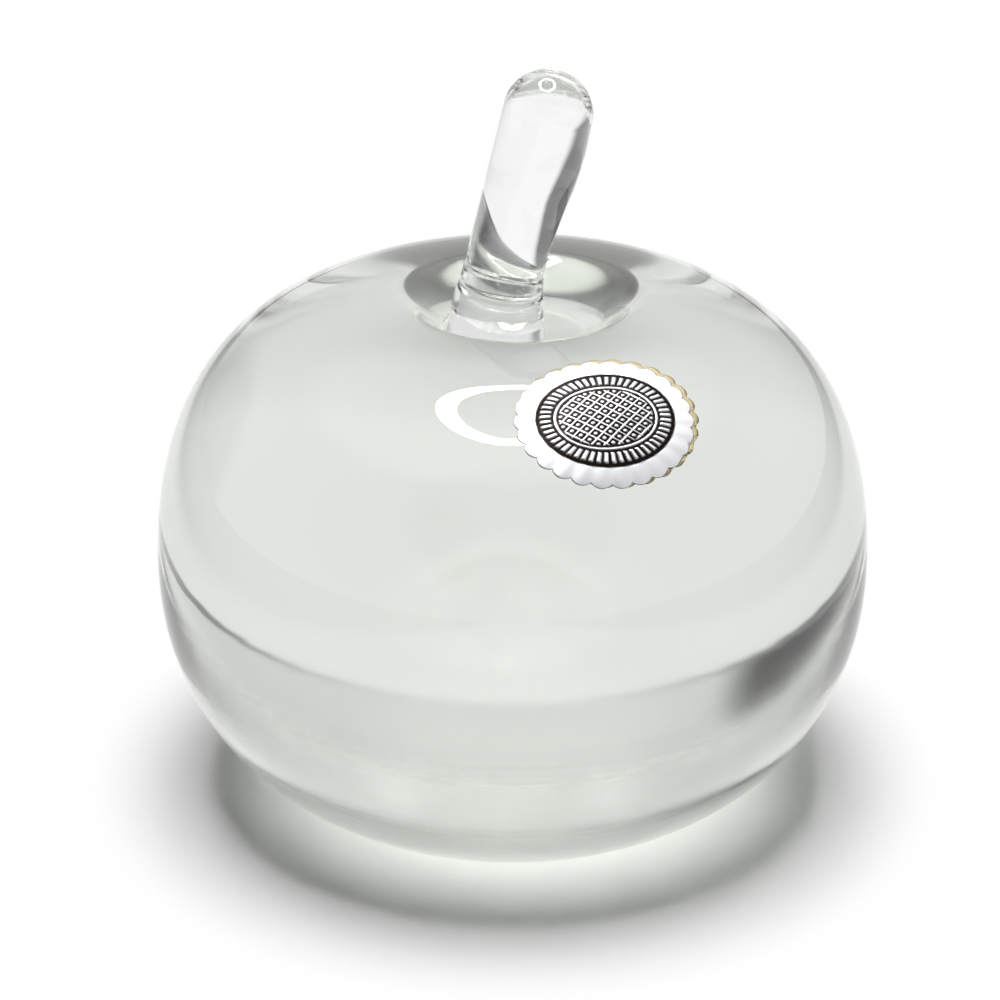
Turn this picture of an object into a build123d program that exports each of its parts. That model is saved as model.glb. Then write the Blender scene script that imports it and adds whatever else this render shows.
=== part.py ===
"""Solid glass apple: an ornament or paperweight with a fused glass stem and a small foil label.

Millimetres. Z is up and the origin is on the floor, under the middle of the apple.
X points to the viewer's right and Y away from the viewer.
"""

import os

from build123d import *

# Apple: clear glass turned to an apple's outline, with a pressed hollow and a ground base
apple_width = 95.0
base_width = 49.4
waist_height = 33.4
crest_height = 70.2
crest_width = 33.4
hollow_depth = 8.8
seat_width = 18.6

# How far each curve runs straight on before it turns, as shares of its own rise or reach
base_reach_share = 0.602
base_rise_share = 0.167
belly_rise_share = 0.504
shoulder_rise_share = 0.822
shoulder_reach_share = 0.388
lip_reach_share = 0.73
wall_reach_share = 0.29
wall_rise_share = 0.67

# Stem: a bent glass rod that leans to the right, with a flared foot and a domed tip
stem_width = 11.8
stem_rise = 33.5
stem_tip_length = 5.6
stem_foot_offset = 2.3
stem_lean = 6.7
stem_crease_width = 0.9
stem_crease_depth = 0.25

# The stem's middle line: height as a share of the rise, lean as a share of the whole lean
stem_line_shares = [
    (0.00, 0.00),
    (0.18, 0.03),
    (0.34, 0.15),
    (0.51, 0.34),
    (0.69, 0.60),
    (0.85, 0.83),
    (1.00, 1.00),
]

# The stem's thickness: place along the middle line, width as a share of the stem's width
stem_width_shares = [
    (0.00, 1.14),
    (0.10, 1.09),
    (0.21, 1.02),
    (0.30, 0.94),
    (0.39, 0.88),
    (0.50, 0.89),
    (0.63, 0.92),
    (0.76, 0.98),
    (0.89, 1.00),
    (1.00, 0.98),
]
stem_crease_row = 3

# Label: a paper backing and a foil, both scalloped, stuck on the shoulder facing the viewer
label_turn = 20.3
label_tilt = -3.0
label_place_share = 0.606
foil_width = 21.8
foil_height = 18.0
foil_thickness = 0.15
paper_thickness = 0.20
paper_margin = 0.25
paper_shift_right = 0.55
paper_shift_up = 0.30
scallop_count = 26
scallop_depth = 0.55
border_width = 17.4
border_height = 13.6
border_band = 0.9
border_rise = 0.15
label_cutter_length = 12.0
trim_overrun = 2.0


def apple_outline():
    """The apple's half outline in the XZ plane: belly, shoulder and the hollow's wall."""
    half_width = apple_width / 2
    base_radius = base_width / 2
    crest_radius = crest_width / 2
    seat_radius = seat_width / 2
    seat_height = crest_height - hollow_depth
    overhang = half_width - base_radius
    shoulder_rise = crest_height - waist_height
    shoulder_reach = half_width - crest_radius
    lip_reach = crest_radius - seat_radius
    belly = Bezier(
        (base_radius, 0, 0),
        (base_radius + overhang * base_reach_share, 0, waist_height * base_rise_share),
        (half_width, 0, waist_height * (1 - belly_rise_share)),
        (half_width, 0, waist_height),
    )
    shoulder = Bezier(
        (half_width, 0, waist_height),
        (half_width, 0, waist_height + shoulder_rise * shoulder_rise_share),
        (crest_radius + shoulder_reach * shoulder_reach_share, 0, crest_height),
        (crest_radius, 0, crest_height),
    )
    wall = Bezier(
        (crest_radius, 0, crest_height),
        (crest_radius - lip_reach * lip_reach_share, 0, crest_height),
        (seat_radius + lip_reach * wall_reach_share, 0, seat_height + hollow_depth * wall_rise_share),
        (seat_radius, 0, seat_height),
    )
    return belly, shoulder, wall


def apple_body():
    """The apple: its half outline turned about Z."""
    belly, shoulder, wall = apple_outline()
    base = Line((0, 0, 0), belly @ 0)
    seat = Line(wall @ 1, (0, 0, (wall @ 1).Z))
    axis = Line(seat @ 1, base @ 0)
    return revolve(make_face([base, belly, shoulder, wall, seat, axis]), Axis.Z)


def stem_line():
    """The stem's middle line, upright where it stands on the seat."""
    seat_height = crest_height - hollow_depth
    points = []
    for height_share, lean_share in stem_line_shares:
        x = stem_lean * lean_share - stem_foot_offset
        points.append((x, 0, seat_height + stem_rise * height_share))
    return Spline(points)


def stem_dome(radius):
    """Half an egg on the XY plane, which closes the stem's upper end."""
    curve = EllipticalCenterArc((0, 0), radius, stem_tip_length, start_angle=0, arc_size=90)
    outline = make_face([curve, Line(curve @ 1, (0, 0)), Line((0, 0), curve @ 0)])
    return revolve(Plane.XZ * outline, Axis.Z)


def stem():
    """The stem: circles square to its middle line, lofted, with a domed tip and a crease."""
    line = stem_line()
    sections = []
    for place, width_share in stem_width_shares:
        across = Plane(origin=line @ place, z_dir=line % place if place else (0, 0, 1))
        sections.append(across * Circle(stem_width * width_share / 2))
    end_place, end_share = stem_width_shares[-1]
    end = Plane(origin=line @ end_place, z_dir=line % end_place)
    dome = end * stem_dome(stem_width * end_share / 2)
    crease_place, crease_share = stem_width_shares[stem_crease_row]
    groove_radius = stem_crease_width / 2
    ring_radius = stem_width * crease_share / 2 + groove_radius - stem_crease_depth
    groove = Plane(origin=line @ crease_place, z_dir=line % crease_place) * Torus(ring_radius, groove_radius)
    return loft(sections) + dome - groove


def scalloped_oval(width, height):
    """A flat oval whose edge is a row of small outward arcs, all as long in angle."""
    half_turn = 180 / scallop_count
    edges = []
    for number in range(scallop_count):
        angle = 2 * half_turn * number
        start = oval_point(width, height, angle)
        crown = oval_point(width + 2 * scallop_depth, height + 2 * scallop_depth, angle + half_turn)
        end = oval_point(width, height, angle + 2 * half_turn)
        edges.append(ThreePointArc(start, crown, end))
    return make_face(edges)


def oval_point(width, height, angle):
    """A point on an oval, at an angle in degrees."""
    across = Vector(1, 0).rotate(Axis.Z, angle)
    return (width / 2 * across.X, height / 2 * across.Y)


def label_plane():
    """The flat plane that touches the shoulder at the label's middle, facing outwards."""
    shoulder = apple_outline()[1]
    rise = shoulder % label_place_share
    touching = Plane(origin=shoulder @ label_place_share, x_dir=(0, 1, 0), z_dir=(rise.Z, 0, -rise.X))
    return touching.rotated((0, 0, label_tilt))


def on_shoulder(shape, thickness):
    """A layer of the given thickness on the glass, cut to a flat shape drawn on the label's plane."""
    skin = Face.revolve(apple_outline()[1], 360, Axis.Z)
    cutter = extrude(label_plane() * shape, label_cutter_length / 2, both=True)
    patch = (skin & cutter).face()
    outwards = label_plane().z_dir
    return Solid.thicken(patch, thickness, normal_override=outwards)


def turned_to_viewer(shape):
    """The label is drawn facing X, and is turned about Z to face the viewer and a little right."""
    return Rot(0, 0, label_turn - 90) * shape


def paper_shape():
    """The paper's outline, a little larger than the foil and shifted up and to the right."""
    width = foil_width + 2 * paper_margin
    height = foil_height + 2 * paper_margin
    return Pos(paper_shift_right, paper_shift_up) * scalloped_oval(width, height)


def label_paper():
    """The gummed paper backing, which lies on the glass."""
    return turned_to_viewer(on_shoulder(paper_shape(), paper_thickness))


def label_foil():
    """The embossed foil on the paper, with a raised oval border."""
    border = Ellipse(border_width / 2, border_height / 2)
    border -= Ellipse(border_width / 2 - border_band, border_height / 2 - border_band)
    whole = scalloped_oval(foil_width, foil_height)
    sheet = on_shoulder(whole, paper_thickness + foil_thickness)
    raised = on_shoulder(border, paper_thickness + foil_thickness + border_rise)
    cover = Ellipse(foil_width / 2 + trim_overrun, foil_height / 2 + trim_overrun)
    below = on_shoulder(cover, paper_thickness)
    return turned_to_viewer(sheet + raised - below)


os.makedirs("parts", exist_ok=True)
export_step(apple_body(), "parts/apple_body.step")
export_step(stem(), "parts/stem.step")
export_step(label_paper(), "parts/label_paper.step")
export_step(label_foil(), "parts/label_foil.step")
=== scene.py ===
"""Solid glass apple with a fused glass stem and a foil label: the looks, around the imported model.

Metres. Z is up, the apple stands on the origin, X is to the viewer's right and Y away from the viewer.
"""

import bisect
import math

import bmesh
import bpy
from mathutils import Matrix, Quaternion, Vector


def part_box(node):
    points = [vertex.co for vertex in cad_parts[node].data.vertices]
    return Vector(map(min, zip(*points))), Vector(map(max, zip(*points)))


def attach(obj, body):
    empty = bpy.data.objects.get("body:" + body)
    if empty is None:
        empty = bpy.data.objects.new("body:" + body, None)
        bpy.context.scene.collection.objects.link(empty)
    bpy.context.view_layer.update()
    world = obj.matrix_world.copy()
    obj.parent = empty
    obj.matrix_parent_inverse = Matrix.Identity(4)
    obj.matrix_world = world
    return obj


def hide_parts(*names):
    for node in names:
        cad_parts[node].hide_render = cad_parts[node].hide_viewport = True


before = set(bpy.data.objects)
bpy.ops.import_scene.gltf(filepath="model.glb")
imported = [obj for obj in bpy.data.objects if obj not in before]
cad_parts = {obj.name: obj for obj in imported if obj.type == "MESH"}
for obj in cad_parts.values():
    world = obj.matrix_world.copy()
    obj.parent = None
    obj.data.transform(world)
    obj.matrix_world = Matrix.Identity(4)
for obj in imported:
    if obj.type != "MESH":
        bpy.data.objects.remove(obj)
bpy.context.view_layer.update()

bl_info = {
    "name": "Glass apple",
    "version": (1, 0, 0),
    "blender": (4, 5, 0),
    "location": "3D View > Sidebar > Glass apple",
    "description": "Builds a solid glass apple, its stem, its foil label and a plain stage",
    "category": "Object",
}

MM = 0.001
BODY_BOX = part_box("apple_body")
STEM_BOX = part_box("stem")
MERGE_DISTANCE = 0.0001 * MM
WHITE = (1, 1, 1, 1)

# How often light may turn before it is dropped: often, because it crosses and mirrors in thick glass
GLASS_BOUNCES = 24
GLOSSY_BOUNCES = 12

# The apple's outline: how far each curve runs straight on before it turns, as shares of its rise or reach
BASE_REACH_SHARE = 0.602
BASE_RISE_SHARE = 0.167
BELLY_RISE_SHARE = 0.504
SHOULDER_RISE_SHARE = 0.822
SHOULDER_REACH_SHARE = 0.388
LIP_REACH_SHARE = 0.35
WALL_REACH_SHARE = 0.35
WALL_RISE_SHARE = 0.44
BELLY_STEPS = 150
SHOULDER_STEPS = 120
WALL_STEPS = 40
APPLE_TURNS = 256

# The hollow: its seat lies higher than the solid's. The glass between two distances is moved right
SEAT_LIFT = 3.4 * MM
SEAT_STEPS = 4
HOLLOW_SHIFT_START = 1.5 * MM
HOLLOW_SHIFT_END = 38 * MM

# The faint rings in the belly: two waves along the outline, the second one faster
RIPPLE_DEPTH = 0.0025 * MM
RIPPLE_STEP = 0.9
RIPPLE_STEP_RATIO = 1.7
RIPPLE_PHASE = 1
RIPPLE_MIDDLE = 0.5
RIPPLE_SLOW_SHARE = 0.3
RIPPLE_FAST_SHARE = 0.2

# The stem: height and lean of its middle line, then its width along that line, all as shares
STEM_LINE_SHARES = [
    (0.00, 0.012), (0.087, 0.03), (0.266, 0.15), (0.455, 0.34),
    (0.655, 0.60), (0.833, 0.83), (1.00, 1.00),
]
STEM_WIDTH_SHARES = [
    (0.00, 1.09), (0.121, 1.02), (0.221, 0.94), (0.321, 0.88), (0.444, 0.89),
    (0.588, 0.92), (0.733, 0.98), (0.878, 1.00), (1.00, 0.98),
]
STEM_STEPS = 210
STEM_DOME_STEPS = 48
STEM_TURNS = 256
TIP_END_RADIUS = 0.001 * MM
CREASE_PLACE = 0.221
CREASE_DEPTH = 0.18 * MM
CREASE_HALF_WIDTH = 0.8 * MM
# The foot lies flat on the seat, and the rings follow the lean fully from this share of the rise on
FOOT_TURN_SHARE = 0.2
# The stem stands this far above its footprint, so that the joint shows in the glass
JOINT_GAP = 0.04 * MM

# The glass: clear, and slightly rough low in the body, where clear glass would show a busy pattern
GLASS_IOR = 1.5
HAZE_TOP = 16 * MM
HAZE_FULL = 8 * MM
LOW_HAZE = 0.12


def linear(hex_colour):
    """An sRGB hex colour as a linear RGBA tuple, for a shader's socket."""
    channels = [int(hex_colour[i:i + 2], 16) / 255 for i in (1, 3, 5)]
    lit = [c / 12.92 if c <= 0.04045 else ((c + 0.055) / 1.055) ** 2.4 for c in channels]
    return (*lit, 1.0)


class GlassAppleSettings(bpy.types.PropertyGroup):
    """The sizes and colours that a user would change."""

    apple_width: bpy.props.FloatProperty(
        name="Apple width", description="Across the widest place",
        default=BODY_BOX[1][0] - BODY_BOX[0][0], unit="LENGTH")
    crest_height: bpy.props.FloatProperty(
        name="Crest height", description="From the base to the top of the round lip",
        default=BODY_BOX[1][2], unit="LENGTH")
    waist_height: bpy.props.FloatProperty(
        name="Waist height", description="From the base to the widest place",
        default=33.4 * MM, unit="LENGTH")
    base_width: bpy.props.FloatProperty(
        name="Base width", description="Across the ground flat underneath",
        default=49.4 * MM, unit="LENGTH")
    crest_width: bpy.props.FloatProperty(
        name="Crest width", description="Across the top of the lip",
        default=33.4 * MM, unit="LENGTH")
    seat_width: bpy.props.FloatProperty(
        name="Seat width", description="Across the flat bottom of the hollow",
        default=18.2 * MM, unit="LENGTH")
    hollow_shift: bpy.props.FloatProperty(
        name="Hollow shift", description="How far right of the middle the hollow was drawn by hand",
        default=1.0 * MM, unit="LENGTH")
    seat_height: bpy.props.FloatProperty(
        name="Seat height", description="From the base to the bottom of the hollow",
        default=STEM_BOX[0][2] + SEAT_LIFT, unit="LENGTH")
    stem_width: bpy.props.FloatProperty(
        name="Stem width", description="Across the thickest place of the rod",
        default=11.8 * MM, unit="LENGTH")
    stem_rise: bpy.props.FloatProperty(
        name="Stem rise", description="From the seat to the start of the domed tip",
        default=30.08 * MM, unit="LENGTH")
    stem_tip_length: bpy.props.FloatProperty(
        name="Tip length", description="Length of the domed tip",
        default=5.6 * MM, unit="LENGTH")
    stem_foot_offset: bpy.props.FloatProperty(
        name="Foot offset", description="How far left of the middle the stem stands",
        default=2.3 * MM, unit="LENGTH")
    stem_lean: bpy.props.FloatProperty(
        name="Stem lean", description="How far right the stem leans over its rise",
        default=6.7 * MM, unit="LENGTH")
    foil_width: bpy.props.FloatProperty(
        name="Foil width", description="Across the label's foil, between the scallops",
        default=21.8 * MM, unit="LENGTH")
    foil_height: bpy.props.FloatProperty(
        name="Foil height", description="Up the label's foil, between the scallops",
        default=18 * MM, unit="LENGTH")
    foil_thickness: bpy.props.FloatProperty(
        name="Foil thickness", description="Of the foil",
        default=0.15 * MM, unit="LENGTH")
    paper_thickness: bpy.props.FloatProperty(
        name="Paper thickness", description="Of the paper under the foil",
        default=0.2 * MM, unit="LENGTH")
    paper_margin: bpy.props.FloatProperty(
        name="Paper margin", description="How much the paper is larger all round",
        default=0.25 * MM, unit="LENGTH")
    paper_shift_right: bpy.props.FloatProperty(
        name="Paper shift right", description="How far right of the foil the paper lies",
        default=0.55 * MM, unit="LENGTH")
    paper_shift_up: bpy.props.FloatProperty(
        name="Paper shift up", description="How far above the foil the paper lies",
        default=0.3 * MM, unit="LENGTH")
    scallop_depth: bpy.props.FloatProperty(
        name="Scallop depth", description="How far each scallop stands out",
        default=0.55 * MM, unit="LENGTH")
    border_width: bpy.props.FloatProperty(
        name="Border width", description="Across the raised oval border",
        default=17.4 * MM, unit="LENGTH")
    border_height: bpy.props.FloatProperty(
        name="Border height", description="Up the raised oval border",
        default=13.6 * MM, unit="LENGTH")
    border_rise: bpy.props.FloatProperty(
        name="Border rise", description="How far the border stands up",
        default=0.15 * MM, unit="LENGTH")
    glass_colour: bpy.props.FloatVectorProperty(
        name="Glass", description="Tint of the thick glass", subtype="COLOR", size=4, min=0, max=1,
        default=linear("#E5E8E2"))
    stem_colour: bpy.props.FloatVectorProperty(
        name="Stem glass", description="Tint of the thin rod", subtype="COLOR", size=4, min=0, max=1,
        default=linear("#F8F8F9"))


def smooth_share(value):
    """A share from 0 to 1 that starts and ends gently."""
    value = min(1, max(0, value))
    return value * value * (3 - 2 * value)


def bezier_points(start, first, second, end, steps):
    """Points along a cubic curve, without its start."""
    points = []
    for step in range(1, steps + 1):
        share = step / steps
        rest = 1 - share
        points.append(start * rest ** 3 + first * 3 * rest * rest * share
                      + second * 3 * rest * share * share + end * share ** 3)
    return points


def curve_through(table, place):
    """The value at a place in a table of (place, value) rows, on a smooth curve through the rows."""
    rows = [(2 * table[0][0] - table[1][0], 2 * table[0][1] - table[1][1]), *table]
    rows.append((2 * table[-1][0] - table[-2][0], 2 * table[-1][1] - table[-2][1]))
    for before, low, high, after in zip(rows, rows[1:], rows[2:], rows[3:]):
        if place <= high[0] or high is rows[-2]:
            span = high[0] - low[0]
            share = (place - low[0]) / span
            slope_in = (high[1] - before[1]) / (high[0] - before[0]) * span
            slope_out = (after[1] - low[1]) / (after[0] - low[0]) * span
            square = share * share
            cube = square * share
            return (low[1] * (2 * cube - 3 * square + 1) + slope_in * (cube - 2 * square + share)
                    + high[1] * (3 * square - 2 * cube) + slope_out * (cube - square))


def shoulder_handles(settings):
    """The four points that shape the curve from the waist up to the lip."""
    half_width = settings.apple_width / 2
    crest_radius = settings.crest_width / 2
    waist = settings.waist_height
    rise = settings.crest_height - waist
    reach = half_width - crest_radius
    return (
        Vector((half_width, 0, waist)),
        Vector((half_width, 0, waist + rise * SHOULDER_RISE_SHARE)),
        Vector((crest_radius + reach * SHOULDER_REACH_SHARE, 0, settings.crest_height)),
        Vector((crest_radius, 0, settings.crest_height)),
    )


def ripple(number):
    """How deep the faint rings are at a numbered point of the outline, from 0 to 1: an uneven wave."""
    angle = number * RIPPLE_STEP
    return (RIPPLE_MIDDLE + RIPPLE_SLOW_SHARE * math.sin(angle)
            + RIPPLE_FAST_SHARE * math.sin(angle * RIPPLE_STEP_RATIO + RIPPLE_PHASE))


def apple_outline(settings):
    """The apple's half outline in the XZ plane, from the middle of the base to the edge of the seat."""
    half_width = settings.apple_width / 2
    base_radius = settings.base_width / 2
    crest_radius = settings.crest_width / 2
    seat_radius = settings.seat_width / 2
    waist = settings.waist_height
    crest = settings.crest_height
    seat = settings.seat_height
    depth = crest - seat
    overhang = half_width - base_radius
    lip = crest_radius - seat_radius
    points = [Vector((0, 0, 0)), Vector((base_radius, 0, 0))]
    points += bezier_points(
        points[-1],
        Vector((base_radius + overhang * BASE_REACH_SHARE, 0, waist * BASE_RISE_SHARE)),
        Vector((half_width, 0, waist * (1 - BELLY_RISE_SHARE))),
        Vector((half_width, 0, waist)), BELLY_STEPS)
    for number in range(2, len(points) - 1):
        outwards = (points[number + 1] - points[number - 1]).cross(Vector((0, 1, 0))).normalized()
        points[number] -= outwards * RIPPLE_DEPTH * ripple(number)
    points += bezier_points(*shoulder_handles(settings), SHOULDER_STEPS)
    points += bezier_points(
        points[-1],
        Vector((crest_radius - lip * LIP_REACH_SHARE, 0, crest)),
        Vector((seat_radius + lip * WALL_REACH_SHARE, 0, seat + depth * WALL_RISE_SHARE)),
        Vector((seat_radius, 0, seat)), WALL_STEPS)
    return points


def hollow_shift_at(settings, reach):
    """How far the shoulder and the hollow's wall are moved right at a distance from the middle."""
    inward = smooth_share((reach - settings.seat_width / 2) / HOLLOW_SHIFT_START)
    outward = smooth_share((HOLLOW_SHIFT_END - reach) / (HOLLOW_SHIFT_END - settings.crest_width / 2))
    return settings.hollow_shift * inward * outward


def stem_centre(settings, place):
    """A point of the stem's middle line, from 0 at the seat to 1 at the start of the tip."""
    x = settings.stem_lean * curve_through(STEM_LINE_SHARES, place) - settings.stem_foot_offset
    return Vector((x, 0, settings.seat_height + settings.stem_rise * place))


def stem_rings(settings):
    """One matrix for each ring of the stem: it turns and sizes a unit circle and puts it in its place."""
    rings = []
    step = 1 / STEM_STEPS
    for number in range(STEM_STEPS + 1):
        place = number * step
        ahead = stem_centre(settings, min(1, place + step)) - stem_centre(settings, max(0, place - step))
        lean = Vector((0, 0, 1)).rotation_difference(ahead)
        turn = Quaternion().slerp(lean, smooth_share(place / FOOT_TURN_SHARE))
        radius = settings.stem_width * curve_through(STEM_WIDTH_SHARES, place) / 2
        off = abs(place - CREASE_PLACE) * settings.stem_rise
        radius -= CREASE_DEPTH * (1 - smooth_share(off / CREASE_HALF_WIDTH))
        centre = stem_centre(settings, place)
        rings.append(Matrix.LocRotScale(centre, turn, Vector((radius, radius, radius))))
    # The dome goes on from the last ring's turn and radius
    centre = stem_centre(settings, 1)
    for number in range(1, STEM_DOME_STEPS + 1):
        angle = math.pi / 2 * number / STEM_DOME_STEPS
        along = turn @ Vector((0, 0, settings.stem_tip_length * math.sin(angle)))
        small = max(radius * math.cos(angle), TIP_END_RADIUS)
        rings.append(Matrix.LocRotScale(centre + along, turn, Vector((small, small, small))))
    return rings


def new_piece(name, bm, material):
    """Makes a bmesh an object of one material with smooth faces."""
    mesh = bpy.data.meshes.new(name)
    for face in bm.faces:
        face.smooth = True
    bm.to_mesh(mesh)
    bm.free()
    mesh.materials.append(material)
    piece = bpy.data.objects.new(name, mesh)
    bpy.context.scene.collection.objects.link(piece)
    return piece


def add_node(tree, kind, settings=(), links=()):
    """Adds a node, sets its sockets or properties and links other nodes' outputs into it.

    A socket goes by its name, or by its number where the node has several of one name.
    """
    node = tree.nodes.new(kind)
    for name, value in dict(settings).items():
        if isinstance(name, int) or name in node.inputs:
            node.inputs[name].default_value = value
        else:
            setattr(node, name, value)
    for socket, (source, output) in dict(links).items():
        tree.links.new(source.outputs[output], node.inputs[socket])
    return node


def new_material(name):
    """An empty node material and its tree."""
    material = bpy.data.materials.new(name)
    material.use_nodes = True
    material.node_tree.nodes.clear()
    return material, material.node_tree


def clear_glass(name, colour, haze=0.0):
    """Fire polished soda-lime glass: clear, with a faint tint from its base colour and sharp reflections.

    Haze is the roughness that it rises to towards the base.
    """
    material, tree = new_material(name)
    shader = add_node(tree, "ShaderNodeBsdfPrincipled", {
        "Base Color": colour, "Roughness": 0.0, "IOR": GLASS_IOR, "Transmission Weight": 1.0})
    if haze:
        place = add_node(tree, "ShaderNodeTexCoord")
        parts = add_node(tree, "ShaderNodeSeparateXYZ", links={"Vector": (place, "Object")})
        low = add_node(tree, "ShaderNodeMapRange", {
            "interpolation_type": "SMOOTHSTEP", "From Min": HAZE_TOP, "From Max": HAZE_FULL, "To Max": haze,
        }, {"Value": (parts, "Z")})
        tree.links.new(low.outputs["Result"], shader.inputs["Roughness"])
    add_node(tree, "ShaderNodeOutputMaterial", links={"Surface": (shader, "BSDF")})
    return material


def turn_outline(settings):
    """The apple's skin: its outline turned about Z, with the hollow moved right and open at the seat."""
    bm = bmesh.new()
    verts = [bm.verts.new(point) for point in apple_outline(settings)]
    edges = [bm.edges.new(pair) for pair in zip(verts, verts[1:])]
    bmesh.ops.spin(bm, geom=verts + edges, cent=(0, 0, 0), axis=(0, 0, 1), angle=2 * math.pi,
                   steps=APPLE_TURNS, use_merge=True)
    bmesh.ops.remove_doubles(bm, verts=bm.verts, dist=MERGE_DISTANCE)
    for vert in bm.verts:
        if vert.co.z > settings.waist_height:
            vert.co.x += hollow_shift_at(settings, vert.co.xy.length)
    return bm


def draw_out(bm, edges):
    """Extrudes a closed row of edges, and returns the new vertices and the row of edges between them."""
    drawn = bmesh.ops.extrude_edge_only(bm, edges=edges)["geom"]
    verts = [item for item in drawn if isinstance(item, bmesh.types.BMVert)]
    drawn_edges = [item for item in drawn if isinstance(item, bmesh.types.BMEdge)]
    ends = set(verts)
    return verts, [edge for edge in drawn_edges if ends.issuperset(edge.verts)]


def close_sharp(bm, edges):
    """Closes a row of edges with one flat face and marks the row sharp."""
    bmesh.ops.contextual_create(bm, geom=edges)
    for edge in edges:
        edge.smooth = False


def draw_seat(bm, settings):
    """Draws the open edge of the hollow's wall in to the stem's footprint, ring by ring, and closes it."""
    foot = stem_rings(settings)[0]
    middle = Vector((0, 0, settings.seat_height))
    centre = middle
    edges = [edge for edge in bm.edges if edge.is_boundary]
    for number in range(1, SEAT_STEPS + 1):
        share = number / SEAT_STEPS
        before = centre
        centre = middle.lerp(foot.translation, share)
        radius = settings.seat_width / 2 * (1 - share) + foot.to_scale().x * share
        verts, edges = draw_out(bm, edges)
        for vert in verts:
            vert.co = centre + (vert.co - before).normalized() * radius
    close_sharp(bm, edges)


class GLASSAPPLE_OT_body(bpy.types.Operator):
    """Turn the apple's outline about Z and draw its seat in to the stem's footprint"""

    bl_idname = "glass_apple.body"
    bl_label = "Glass apple"

    def execute(self, context):
        settings = context.scene.glass_apple
        bm = turn_outline(settings)
        draw_seat(bm, settings)
        bmesh.ops.recalc_face_normals(bm, faces=bm.faces)
        glass = clear_glass("clear apple glass", settings.glass_colour, LOW_HAZE)
        piece = new_piece("glass_apple", bm, glass)
        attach(piece, "root")
        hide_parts("apple_body")
        return {"FINISHED"}


class GLASSAPPLE_OT_stem(bpy.types.Operator):
    """Draw the stem up from its footprint, ring by ring, and close it with a dome"""

    bl_idname = "glass_apple.stem"
    bl_label = "Stem"

    def execute(self, context):
        settings = context.scene.glass_apple
        rings = stem_rings(settings)
        rings[0] = Matrix.Translation((0, 0, JOINT_GAP)) @ rings[0]
        bm = bmesh.new()
        bmesh.ops.create_circle(bm, segments=STEM_TURNS, radius=1, matrix=rings[0])
        edges = bm.edges[:]
        close_sharp(bm, edges)
        for before, after in zip(rings, rings[1:]):
            verts, edges = draw_out(bm, edges)
            bmesh.ops.transform(bm, matrix=after @ before.inverted(), verts=verts)
        bmesh.ops.contextual_create(bm, geom=edges)
        bmesh.ops.recalc_face_normals(bm, faces=bm.faces)
        glass = clear_glass("clear stem glass", settings.stem_colour)
        piece = new_piece("glass_stem", bm, glass)
        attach(piece, "root")
        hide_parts("stem")
        return {"FINISHED"}


# The label: a paper backing and an embossed foil with scalloped edges, on the shoulder facing the viewer
LABEL_TURN = 20.3
LABEL_TILT = -3.0
LABEL_PLACE_SHARE = 0.606
SHOULDER_FINE_STEPS = 1500
SHOULDER_SEARCH_STEPS = 3
SCALLOP_COUNT = 26
SCALLOP_STEPS = 16
SCALLOP_ROUNDNESS = 0.75
PAPER_COLOUR = "#E3D3A6"
PAPER_ROUGHNESS = 0.7
PAPER_SUNK = 0.02 * MM
PAPER_RINGS = 24
FOIL_COLOUR = "#D9D9DC"
PRINT_COLOUR = "#17120F"
FOIL_ROUGHNESS = 0.28
FOIL_RINGS = 84
EMBOSS_SLOPE = 0.16 * MM

# The foil's design from the rim inwards: flutes, a black line, short bars, a line, a lattice with studs
RIM_RELIEF = 0.05 * MM
OUTLINE_WIDTH = 0.16 * MM
BAR_COUNT = 52
BAR_THRESHOLD = 0.45
BAR_SOFTNESS = 0.35
BAR_SPAN = (0.3 * MM, 1.75 * MM)
LINE_SPAN = (2.05 * MM, 2.4 * MM)
FIELD_DEPTH = 2.65 * MM
FIELD_RELIEF = 0.08 * MM
LATTICE_PITCH = 1.9 * MM
LATTICE_SLOPE = 1.25
LATTICE_LINE = 0.3
STUD_LEVEL = 1.55
MOTIF_SHARPNESS = 2
# Keeps the depth finite in the very middle
SMALLEST_SHARE = 0.01


class Shoulder:
    """The glass under the label: where a point of the label's flat plane lies on the curved shoulder."""

    def __init__(self, settings):
        self.settings = settings
        handles = shoulder_handles(settings)
        path = [handles[0], *bezier_points(*handles, SHOULDER_FINE_STEPS)]
        middle = round(SHOULDER_FINE_STEPS * LABEL_PLACE_SHARE)
        self.origin = path[middle]
        self.reaches = [point.x for point in reversed(path)]
        self.heights = [point.z for point in reversed(path)]
        across = Vector((0, 1, 0))
        upward = (path[middle + 1] - path[middle - 1]).normalized()
        tilt = math.radians(LABEL_TILT)
        self.x_axis = across * math.cos(tilt) + upward * math.sin(tilt)
        self.y_axis = upward * math.cos(tilt) - across * math.sin(tilt)
        self.z_axis = Vector((upward.z, 0, -upward.x))
        self.turn = Matrix.Rotation(math.radians(LABEL_TURN - 90), 4, "Z")

    def height_at(self, reach):
        """The shoulder's height and slope at a distance from the middle."""
        row = min(max(bisect.bisect(self.reaches, reach), 1), len(self.reaches) - 1)
        span = self.reaches[row] - self.reaches[row - 1]
        fall = self.heights[row] - self.heights[row - 1]
        return self.heights[row - 1] + fall * (reach - self.reaches[row - 1]) / span, fall / span

    def point(self, x, y):
        """The point of the glass behind x and y of the label's plane, and the direction outwards there."""
        flat = self.origin + self.x_axis * x + self.y_axis * y
        sunk = 0
        for _ in range(SHOULDER_SEARCH_STEPS):
            place = flat - self.z_axis * sunk
            reach = place.xy.length
            height, slope = self.height_at(reach)
            outwards = Vector((-slope * place.x / reach, -slope * place.y / reach, 1)).normalized()
            sunk += (place.z - height) * outwards.z / self.z_axis.dot(outwards)
        place = self.turn @ place
        place.x += hollow_shift_at(self.settings, reach)
        return place, self.turn @ outwards


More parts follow.
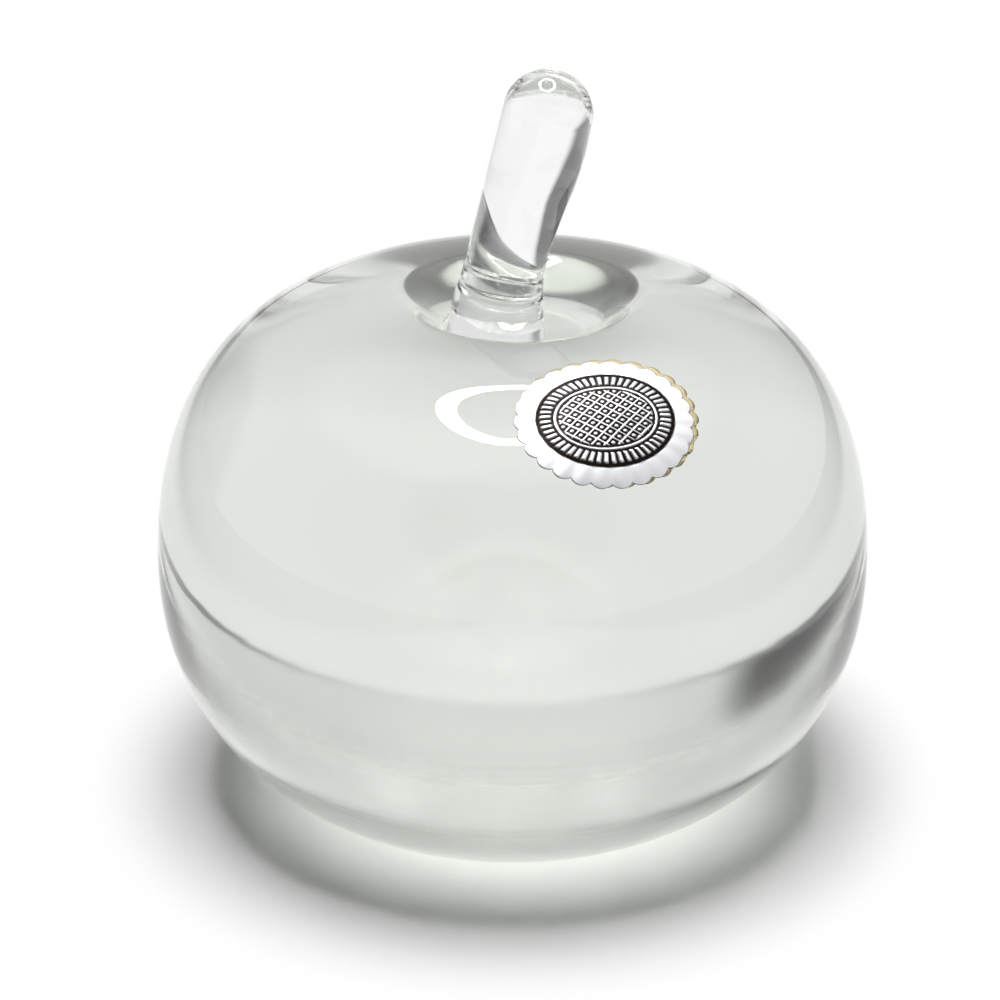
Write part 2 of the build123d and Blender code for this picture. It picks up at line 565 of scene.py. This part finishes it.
def scalloped_edge(width, height, depth, angle):
    """How far out the edge lies at an angle: an oval whose edge is a row of small outward arcs."""
    crown = abs(math.sin(angle * SCALLOP_COUNT / 2)) ** SCALLOP_ROUNDNESS
    return (width / 2 + depth * crown) * math.cos(angle), (height / 2 + depth * crown) * math.sin(angle)


def label_sheet(name, settings, rings, outline, bottom, top, material):
    """A thin closed sheet that follows the glass.

    The function outline gives its edge at an angle. Bottom is how far above the glass its underside lies.
    The function top gives how far above the glass its upper side lies at a place, and how silver it is.
    """
    shoulder = Shoulder(settings)
    turns = SCALLOP_COUNT * SCALLOP_STEPS
    bm = bmesh.new()
    relief = bm.verts.layers.float.new("relief")
    bmesh.ops.create_circle(bm, cap_ends=True, cap_tris=True, segments=turns, radius=1)
    middle = min(bm.verts, key=lambda vert: vert.co.length)
    spokes = [edge for edge in bm.edges if middle in edge.verts]
    bmesh.ops.subdivide_edges(bm, edges=spokes, cuts=rings - 1)
    bm.verts.index_update()
    places = {}
    for vert in bm.verts:
        x, y = (vert.co.length * part for part in outline(math.atan2(vert.co.y, vert.co.x)))
        places[vert.index] = (x, y, *shoulder.point(x, y))
    bmesh.ops.duplicate(bm, geom=bm.verts[:] + bm.edges[:] + bm.faces[:])
    bmesh.ops.bridge_loops(bm, edges=[edge for edge in bm.edges if edge.is_boundary])
    bm.verts.index_update()
    count = len(places)
    for vert in bm.verts:
        x, y, glass, outwards = places[vert.index % count]
        thickness, vert[relief] = top(x, y) if vert.index < count else (bottom, 0)
        vert.co = glass + outwards * thickness
    bmesh.ops.recalc_face_normals(bm, faces=bm.faces)
    piece = new_piece(name, bm, material)
    # The label is neither seen through the glass nor mirrored in it, which keeps the body clear
    piece.visible_transmission = False
    piece.visible_glossy = False
    return piece


class GLASSAPPLE_OT_label_paper(bpy.types.Operator):
    """Lay the gummed paper backing on the shoulder"""

    bl_idname = "glass_apple.label_paper"
    bl_label = "Label paper"

    def execute(self, context):
        settings = context.scene.glass_apple
        width = settings.foil_width + 2 * settings.paper_margin
        height = settings.foil_height + 2 * settings.paper_margin

        def outline(angle):
            x, y = scalloped_edge(width, height, settings.scallop_depth, angle)
            return x + settings.paper_shift_right, y + settings.paper_shift_up

        def top(x, y):
            return settings.paper_thickness, 0

        paper = cream_paper()
        piece = label_sheet("label_backing", settings, PAPER_RINGS, outline, -PAPER_SUNK, top, paper)
        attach(piece, "root")
        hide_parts("label_paper")
        return {"FINISHED"}


class GLASSAPPLE_OT_label_foil(bpy.types.Operator):
    """Lay the embossed foil on the paper"""

    bl_idname = "glass_apple.label_foil"
    bl_label = "Label foil"

    def execute(self, context):
        settings = context.scene.glass_apple
        bottom = settings.paper_thickness

        def outline(angle):
            return scalloped_edge(settings.foil_width, settings.foil_height, settings.scallop_depth, angle)

        def top(x, y):
            level, mark = foil_relief(settings, x, y)
            return bottom + settings.foil_thickness + level, mark

        foil = silver_foil()
        piece = label_sheet("label_foil_sheet", settings, FOIL_RINGS, outline, bottom, top, foil)
        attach(piece, "root")
        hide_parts("label_foil")
        return {"FINISHED"}


def foil_relief(settings, x, y):
    """How high the foil stands at a point, and how silver it is: inside the oval its ground is black."""
    share = math.hypot(x / (settings.border_width / 2), y / (settings.border_height / 2))
    depth = (1 - share) * math.hypot(x, y) / max(share, SMALLEST_SHARE)
    if depth < 0:
        silver = smooth_share(-depth / OUTLINE_WIDTH - 1)
        turn = math.atan2(y, x * settings.foil_height / settings.foil_width)
        flute = 0.5 + 0.5 * math.cos(SCALLOP_COUNT * turn)
        return RIM_RELIEF * silver * (1 - flute), silver
    turn = math.atan2(y / settings.border_height, x / settings.border_width)
    wave = math.sin(turn * BAR_COUNT / 2)
    bars = smooth_share((wave * wave - BAR_THRESHOLD) / BAR_SOFTNESS + 0.5) * between(depth, *BAR_SPAN)
    line = between(depth, *LINE_SPAN)
    field = smooth_share((depth - FIELD_DEPTH) / EMBOSS_SLOPE)
    first = math.sin(math.pi * (x + y * LATTICE_SLOPE) / LATTICE_PITCH)
    second = math.sin(math.pi * (x - y * LATTICE_SLOPE) / LATTICE_PITCH)
    lattice = max(1 - abs(first) / LATTICE_LINE, 1 - abs(second) / LATTICE_LINE)
    studs = first * first + second * second - STUD_LEVEL
    motif = field * smooth_share(max(lattice, studs) * MOTIF_SHARPNESS)
    return settings.border_rise * bars + FIELD_RELIEF * max(line, motif), max(bars, line, motif)


def between(value, low, high):
    """1 inside a span and 0 outside it, with sloping edges."""
    return smooth_share((value - low) / EMBOSS_SLOPE) * smooth_share((high - value) / EMBOSS_SLOPE)


def cream_paper():
    """Uncoated cream paper: matt, and warm where it shows past the foil."""
    material, tree = new_material("cream gummed paper")
    shader = add_node(tree, "ShaderNodeBsdfPrincipled", {
        "Base Color": linear(PAPER_COLOUR), "Roughness": PAPER_ROUGHNESS})
    add_node(tree, "ShaderNodeOutputMaterial", links={"Surface": (shader, "BSDF")})
    return material


def silver_foil():
    """Embossed aluminium foil with a printed black ground: bright relief, dark field."""
    material, tree = new_material("silver foil with black print")
    mark = add_node(tree, "ShaderNodeAttribute", {"attribute_name": "relief"})
    colour = add_node(tree, "ShaderNodeMix", {
        "data_type": "RGBA", "A": linear(PRINT_COLOUR), "B": linear(FOIL_COLOUR),
    }, {"Factor": (mark, "Fac")})
    shader = add_node(tree, "ShaderNodeBsdfPrincipled", {"Roughness": FOIL_ROUGHNESS, "Metallic": 1.0},
                      {"Base Color": (colour, "Result")})
    add_node(tree, "ShaderNodeOutputMaterial", links={"Surface": (shader, "BSDF")})
    return material


# The stage: a white floor, three ring lamps overhead, a pale room and the camera at the photograph's angle
FLOOR_REACH = 1.5
FLOOR_GAP = 0.03 * MM
# From where to where the floor turns from matt to plain white, seen straight and through the glass
FLOOR_SHADE_REACH = 0.040
FLOOR_PLAIN_REACH = 0.060
FLOOR_THROUGH_SHADE_REACH = 0.015
FLOOR_THROUGH_PLAIN_REACH = 0.068
# Far to the left and right the plain white is darker, unless the camera sees it straight
FLOOR_LIT_REACH = 0.15
FLOOR_DIM_REACH = 0.25
FLOOR_DIM_LEVEL = 0.2
FLOOR_DIM_SHIFT = 0.02
LAMP_HEIGHT = 0.5
LAMP_TURNS = 96
DIRECT_HALF_WIDTH = 0.172
DIRECT_HALF_DEPTH = 0.190
DIRECT_BAND = 0.05
DIRECT_OFFSET = (-0.01, 0.005)
DIRECT_STRENGTH = 18.0
GATHERED_REACH = 0.172
GATHERED_BAND = 0.16
GATHERED_OFFSET = (-0.045, 0.03)
GATHERED_STRENGTH = 12.0
MIRRORED_HALF_WIDTH = 0.119
MIRRORED_HALF_DEPTH = 0.170
MIRRORED_BAND = 0.034
MIRRORED_OFFSET = (0.0, 0.075)
MIRRORED_STRENGTH = 24.0
# How bright the room is, and what share of that the floor gets
ROOM_LEVEL = 0.8
FILL_SHARE = 0.05
# Brighter and darker parts of the room, in degrees: azimuth from straight behind, turning right, elevation,
# how far from there the change starts, how far from there it is full, and the change of level
ROOM_PARTS = [
    (0, 80, 48, 34, 0.8),
    (180, 38, 36, 24, -0.6),
    (225, 26, 32, 18, -0.3),
    (312, 2, 25, 15, -0.75),
]
# A light path counts its scatterings in whole numbers, so half of one tells none from some
SCATTER_THRESHOLD = 0.5
CAMERA_ELEVATION = 26.0
CAMERA_DISTANCE = 0.450
PHOTO_WIDTH_PX = 1000
FOCAL_PX = 3342.3
WAIST_CENTRE_PX = (512.5, 549.0)
SENSOR_WIDTH_MM = 36.0


class GLASSAPPLE_OT_stage(bpy.types.Operator):
    """Set out the floor, the lamps, the surroundings and the camera"""

    bl_idname = "glass_apple.stage"
    bl_label = "Stage"

    def execute(self, context):
        add_floor()
        add_lamps()
        add_surroundings()
        add_camera(context.scene.glass_apple)
        return {"FINISHED"}


def plain_share(tree, place, path):
    """How far the floor is plain white and free of shadow, which differs through the glass."""
    reach = add_node(tree, "ShaderNodeVectorMath", {"operation": "LENGTH"}, {0: (place, "Object")})
    away = add_node(tree, "ShaderNodeMapRange", {
        "interpolation_type": "SMOOTHSTEP", "From Min": FLOOR_SHADE_REACH, "From Max": FLOOR_PLAIN_REACH,
    }, {"Value": (reach, "Value")})
    seen = add_node(tree, "ShaderNodeMath", {"operation": "ADD", "use_clamp": True},
                    {0: (path, "Is Camera Ray"), 1: (path, "Is Glossy Ray")})
    outside = add_node(tree, "ShaderNodeMath", {"operation": "MULTIPLY"},
                       {0: (away, "Result"), 1: (seen, "Value")})
    near = add_node(tree, "ShaderNodeMapRange", {
        "interpolation_type": "SMOOTHSTEP",
        "From Min": FLOOR_THROUGH_SHADE_REACH, "From Max": FLOOR_THROUGH_PLAIN_REACH,
    }, {"Value": (reach, "Value")})
    through = add_node(tree, "ShaderNodeMath", {"operation": "MULTIPLY"},
                       {0: (near, "Result"), 1: (path, "Is Transmission Ray")})
    return add_node(tree, "ShaderNodeMath", {"operation": "MAXIMUM"},
                    {0: (outside, "Value"), 1: (through, "Value")})


def plain_strength(tree, place, path):
    """How bright the plain white is: darker far to the left and right, but not seen straight."""
    parts = add_node(tree, "ShaderNodeSeparateXYZ", links={"Vector": (place, "Object")})
    shifted = add_node(tree, "ShaderNodeMath", {"operation": "SUBTRACT", 1: FLOOR_DIM_SHIFT},
                       {0: (parts, "X")})
    side = add_node(tree, "ShaderNodeMath", {"operation": "ABSOLUTE"}, {0: (shifted, "Value")})
    far = add_node(tree, "ShaderNodeMapRange", {
        "interpolation_type": "SMOOTHSTEP", "From Min": FLOOR_LIT_REACH, "From Max": FLOOR_DIM_REACH,
    }, {"Value": (side, "Value")})
    indirect = add_node(tree, "ShaderNodeMath", {"operation": "SUBTRACT", 0: 1.0},
                        {1: (path, "Is Camera Ray")})
    dim = add_node(tree, "ShaderNodeMath", {"operation": "MULTIPLY"},
                   {0: (far, "Result"), 1: (indirect, "Value")})
    return add_node(tree, "ShaderNodeMapRange", {"To Min": 1.0, "To Max": FLOOR_DIM_LEVEL},
                    {"Value": (dim, "Value")})


def add_floor():
    """A matt white floor that takes the apple's shadow and runs into plain white away from it."""
    material, tree = new_material("white floor")
    place = add_node(tree, "ShaderNodeTexCoord")
    path = add_node(tree, "ShaderNodeLightPath")
    share = plain_share(tree, place, path)
    strength = plain_strength(tree, place, path)
    matt = add_node(tree, "ShaderNodeBsdfDiffuse", {"Color": WHITE})
    plain = add_node(tree, "ShaderNodeEmission", {"Color": WHITE}, {"Strength": (strength, "Result")})
    both = add_node(tree, "ShaderNodeMixShader", links={
        0: (share, "Value"), 1: (matt, "BSDF"), 2: (plain, "Emission")})
    add_node(tree, "ShaderNodeOutputMaterial", links={"Surface": (both, "Shader")})
    bm = bmesh.new()
    bmesh.ops.create_grid(bm, x_segments=1, y_segments=1, size=FLOOR_REACH)
    bmesh.ops.translate(bm, vec=(0, 0, -FLOOR_GAP), verts=bm.verts)
    floor = new_piece("floor", bm, material)


def is_scattered(tree, path):
    """A node that is 1 for rays that a matt surface has scattered, and 0 for others."""
    return add_node(tree, "ShaderNodeMath", {"operation": "GREATER_THAN", 1: SCATTER_THRESHOLD},
                    {0: (path, "Diffuse Depth")})


def straight_only(tree, path):
    """A node that is 1 for rays that don't come out of the glass."""
    return add_node(tree, "ShaderNodeMath", {"operation": "SUBTRACT", 0: 1.0},
                    {1: (path, "Is Transmission Ray")})


def through_glass_only(tree, path):
    """A node that is 1 for rays from the floor that have passed through the glass."""
    return add_node(tree, "ShaderNodeMath", {"operation": "MULTIPLY"},
                    {0: (is_scattered(tree, path), "Value"), 1: (path, "Is Transmission Ray")})


def mirrored_only(tree, path):
    """A node that is 1 for what is seen in the glass, and 0 for rays from the floor."""
    return add_node(tree, "ShaderNodeMath", {"operation": "SUBTRACT", 0: 1.0},
                    {1: (is_scattered(tree, path), "Value")})


def add_ring(name, half_width, half_depth, band, offset, strength, shows):
    """An oval ring of light above the apple. The function shows gives the node for the rays that see it."""
    bm = bmesh.new()
    outer = bmesh.ops.create_circle(bm, segments=LAMP_TURNS, radius=1)["verts"]
    bmesh.ops.scale(bm, vec=(half_width, half_depth, 1), verts=outer)
    inner = bmesh.ops.create_circle(bm, segments=LAMP_TURNS, radius=1)["verts"]
    bmesh.ops.scale(bm, vec=(half_width - band, half_depth - band, 1), verts=inner)
    bmesh.ops.bridge_loops(bm, edges=bm.edges)
    bmesh.ops.translate(bm, vec=(*offset, LAMP_HEIGHT), verts=bm.verts)
    material, tree = new_material(name)
    path = add_node(tree, "ShaderNodeLightPath")
    share = shows(tree, path)
    clear = add_node(tree, "ShaderNodeBsdfTransparent", {"Color": WHITE})
    glow = add_node(tree, "ShaderNodeEmission", {"Color": WHITE, "Strength": strength})
    both = add_node(tree, "ShaderNodeMixShader", links={
        0: (share, "Value"), 1: (clear, "BSDF"), 2: (glow, "Emission")})
    add_node(tree, "ShaderNodeOutputMaterial", links={"Surface": (both, "Shader")})
    ring = new_piece(name, bm, material)
    ring.visible_camera = False
    return ring


def add_lamps():
    """Rings of light: for the floor, for the light that the glass gathers, and to be seen in the glass."""
    direct = add_ring("direct_lamp", DIRECT_HALF_WIDTH, DIRECT_HALF_DEPTH, DIRECT_BAND, DIRECT_OFFSET,
                      DIRECT_STRENGTH, straight_only)
    direct.visible_glossy = False
    gathered = add_ring("gathered_lamp", GATHERED_REACH, GATHERED_REACH, GATHERED_BAND, GATHERED_OFFSET,
                        GATHERED_STRENGTH, through_glass_only)
    gathered.visible_glossy = False
    mirrored = add_ring("mirrored_lamp", MIRRORED_HALF_WIDTH, MIRRORED_HALF_DEPTH, MIRRORED_BAND,
                        MIRRORED_OFFSET, MIRRORED_STRENGTH, mirrored_only)
    mirrored.visible_diffuse = False


def room_level(tree):
    """How bright the room is in each direction: one level, with brighter and darker parts."""
    place = add_node(tree, "ShaderNodeTexCoord")
    level = add_node(tree, "ShaderNodeValue")
    level.outputs["Value"].default_value = ROOM_LEVEL
    for *angles, change in ROOM_PARTS:
        azimuth, elevation, start, full = map(math.radians, angles)
        across = math.cos(elevation)
        towards = (across * math.sin(azimuth), across * math.cos(azimuth), math.sin(elevation))
        near = add_node(tree, "ShaderNodeVectorMath", {"operation": "DOT_PRODUCT", 1: towards},
                        {0: (place, "Generated")})
        part = add_node(tree, "ShaderNodeMapRange", {
            "interpolation_type": "SMOOTHSTEP",
            "From Min": math.cos(start), "From Max": math.cos(full), "To Max": change,
        }, {"Value": (near, "Value")})
        level = add_node(tree, "ShaderNodeMath", {"operation": "ADD"},
                         {0: (level, "Value"), 1: (part, "Result")})
    return level


def add_surroundings():
    """A pale room around the apple, which lights the floor only a little."""
    world = bpy.data.worlds.new("surroundings")
    bpy.context.scene.world = world
    world.use_nodes = True
    world.cycles.sampling_method = "NONE"
    tree = world.node_tree
    tree.nodes.clear()
    level = room_level(tree)
    path = add_node(tree, "ShaderNodeLightPath")
    share = add_node(tree, "ShaderNodeMapRange", {"To Min": 1.0, "To Max": FILL_SHARE},
                     {"Value": (is_scattered(tree, path), "Value")})
    strength = add_node(tree, "ShaderNodeMath", {"operation": "MULTIPLY"},
                        {0: (level, "Value"), 1: (share, "Result")})
    shader = add_node(tree, "ShaderNodeBackground", {"Color": WHITE}, {"Strength": (strength, "Value")})
    add_node(tree, "ShaderNodeOutputWorld", links={"Surface": (shader, "Background")})


def add_camera(settings):
    """The camera at the photograph's place, turned so that the apple falls where the photograph has it."""
    data = bpy.data.cameras.new("camera")
    data.sensor_width = SENSOR_WIDTH_MM
    data.lens = FOCAL_PX / PHOTO_WIDTH_PX * SENSOR_WIDTH_MM
    elevation = math.radians(CAMERA_ELEVATION)
    ahead = Vector((0, math.cos(elevation), -math.sin(elevation)))
    upward = Vector((0, math.sin(elevation), math.cos(elevation)))
    right = Vector((1, 0, 0))
    middle = PHOTO_WIDTH_PX / 2
    aim = (ahead + right * (middle - WAIST_CENTRE_PX[0]) / FOCAL_PX
           + upward * (WAIST_CENTRE_PX[1] - middle) / FOCAL_PX)
    camera = bpy.data.objects.new("camera", data)
    camera.location = Vector((0, 0, settings.waist_height)) - ahead * CAMERA_DISTANCE
    camera.rotation_euler = aim.to_track_quat("-Z", "Y").to_euler()
    bpy.context.scene.collection.objects.link(camera)
    bpy.context.scene.camera = camera


class GLASSAPPLE_PT_panel(bpy.types.Panel):
    """The pieces of the glass apple and their sizes"""

    bl_idname = "GLASSAPPLE_PT_panel"
    bl_label = "Glass apple"
    bl_space_type = "VIEW_3D"
    bl_region_type = "UI"
    bl_category = "Glass apple"

    def draw(self, context):
        settings = context.scene.glass_apple
        for name in settings.bl_rna.properties.keys():
            if name not in ("rna_type", "name"):
                self.layout.prop(settings, name)
        for operator in OPERATORS:
            self.layout.operator(operator.bl_idname)


OPERATORS = (
    GLASSAPPLE_OT_body, GLASSAPPLE_OT_stem, GLASSAPPLE_OT_label_paper, GLASSAPPLE_OT_label_foil,
    GLASSAPPLE_OT_stage,
)
CLASSES = (GlassAppleSettings, *OPERATORS, GLASSAPPLE_PT_panel)


def register():
    """Registers the classes and hangs the settings on the scene."""
    for cls in CLASSES:
        bpy.utils.register_class(cls)
    bpy.types.Scene.glass_apple = bpy.props.PointerProperty(type=GlassAppleSettings)


def unregister():
    """Takes the settings and the classes away again."""
    del bpy.types.Scene.glass_apple
    for cls in reversed(CLASSES):
        bpy.utils.unregister_class(cls)


def main():
    """Builds the apple and its stage."""
    register()
    scene = bpy.context.scene
    scene.view_settings.view_transform = "Standard"
    scene.cycles.max_bounces = GLASS_BOUNCES
    scene.cycles.transmission_bounces = GLASS_BOUNCES
    scene.cycles.glossy_bounces = GLOSSY_BOUNCES
    bpy.ops.glass_apple.body()
    bpy.ops.glass_apple.stem()
    bpy.ops.glass_apple.label_paper()
    bpy.ops.glass_apple.label_foil()
    bpy.ops.glass_apple.stage()


if __name__ == "__main__":
    main()
